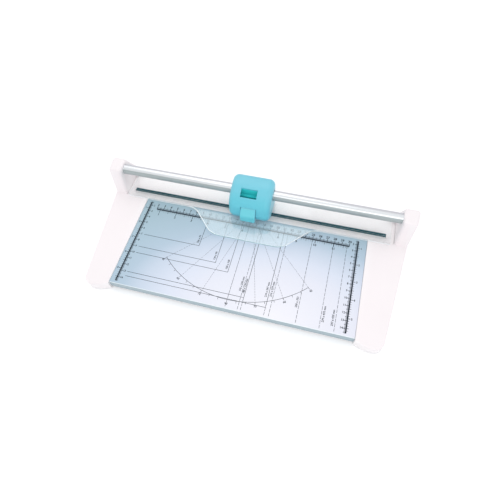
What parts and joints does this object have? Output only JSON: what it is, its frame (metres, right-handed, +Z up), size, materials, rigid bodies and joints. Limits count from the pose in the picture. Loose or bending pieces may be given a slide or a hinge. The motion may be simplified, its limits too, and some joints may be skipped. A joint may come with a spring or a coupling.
{
  "type": "paper trimmer",
  "caption": "Desk paper trimmer: printed metal bed between white side casings with towers, a round rail, a sliding head with a rotary blade and a clear hinged guard.",
  "frame": {"origin": "on the desk, under the middle of the part's outline seen from above", "axes": "+X along the rail to the right, +Y to the rear (rail side), +Z up"},
  "size_m": [0.433, 0.202, 0.068],
  "materials": {
    "casing_plastic": "fine satin",
    "bed_enamel": "semi-matt enamel with printed scales",
    "beam_plastic": "satin",
    "mat_plastic": "matt",
    "zinc_steel": "zinc plated",
    "rail_steel": "satin drawn",
    "clear_plastic": "clear polished",
    "strip_plastic": "matt",
    "head_plastic": "satin gloss",
    "lever_plastic": "satin gloss",
    "carriage_plastic": "matt",
    "bush_plastic": "matt",
    "blade_steel": "ground",
    "spring_steel": "bright wire",
    "foot_rubber": "matt"
  },
  "bodies": {
    "base": {"left_side_casing": "casing_plastic", "right_side_casing": "casing_plastic", "left_bottom_cover": "casing_plastic", "right_bottom_cover": "casing_plastic", "bed_plate": "bed_enamel", "bed_stiffeners": "zinc_steel", "rear_beam": "beam_plastic", "beam_bottom_cover": "beam_plastic", "cutting_mat": "mat_plastic", "beam_cover_screws": "zinc_steel", "cover_screws": "zinc_steel", "bed_screws": "zinc_steel", "beam_screws": "zinc_steel", "rail": "rail_steel", "rail_end_plugs": "bush_plastic", "rail_end_screws": "zinc_steel", "screw_hole_caps": "casing_plastic", "guard_pivot_pins": "zinc_steel", "guard_springs": "spring_steel", "rubber_feet": "foot_rubber"},
    "guard": {"clear_guard": "clear_plastic", "blade_guide_strips": "strip_plastic"},
    "head": {"head_shell": "head_plastic", "head_carriage": "carriage_plastic", "glide_bushes": "bush_plastic", "head_bottom_cover": "head_plastic", "head_cover_screws": "zinc_steel", "head_shell_screws": "zinc_steel", "return_springs": "spring_steel"},
    "carrier": {"blade_carrier": "carriage_plastic", "press_lever": "lever_plastic", "press_lever_screw": "zinc_steel", "blade_axle": "zinc_steel", "axle_clip": "spring_steel"},
    "blade": {"rotary_blade": "blade_steel", "blade_hub": "carriage_plastic", "blade_clamp_ring": "carriage_plastic"}
  },
  "joints": [
    {"name": "head_slide", "type": "slide", "parent": "base", "child": "head", "axis": [1, 0, 0], "range_m": [-0.163, 0.17]},
    {"name": "blade_press", "type": "slide", "parent": "head", "child": "carrier", "axis": [0, 0, -1], "range_m": [0, 0.0063], "stiffness_N_per_m": 400, "springref_m": -0.004, "deforming": ["return_springs"]},
    {"name": "blade_spin", "type": "hinge", "parent": "carrier", "child": "blade", "pos_m": [-0.0035, 0.057, 0.0346], "axis": [0, 1, 0], "continuous": true},
    {"name": "guard_press", "type": "hinge", "parent": "base", "child": "guard", "pos_m": [0, 0.086, 0.0202], "axis": [-1, 0, 0], "range_deg": [-1.6, 0], "stiffness_Nm_per_rad": 1.5, "springref_deg": 5.73}
  ]
}
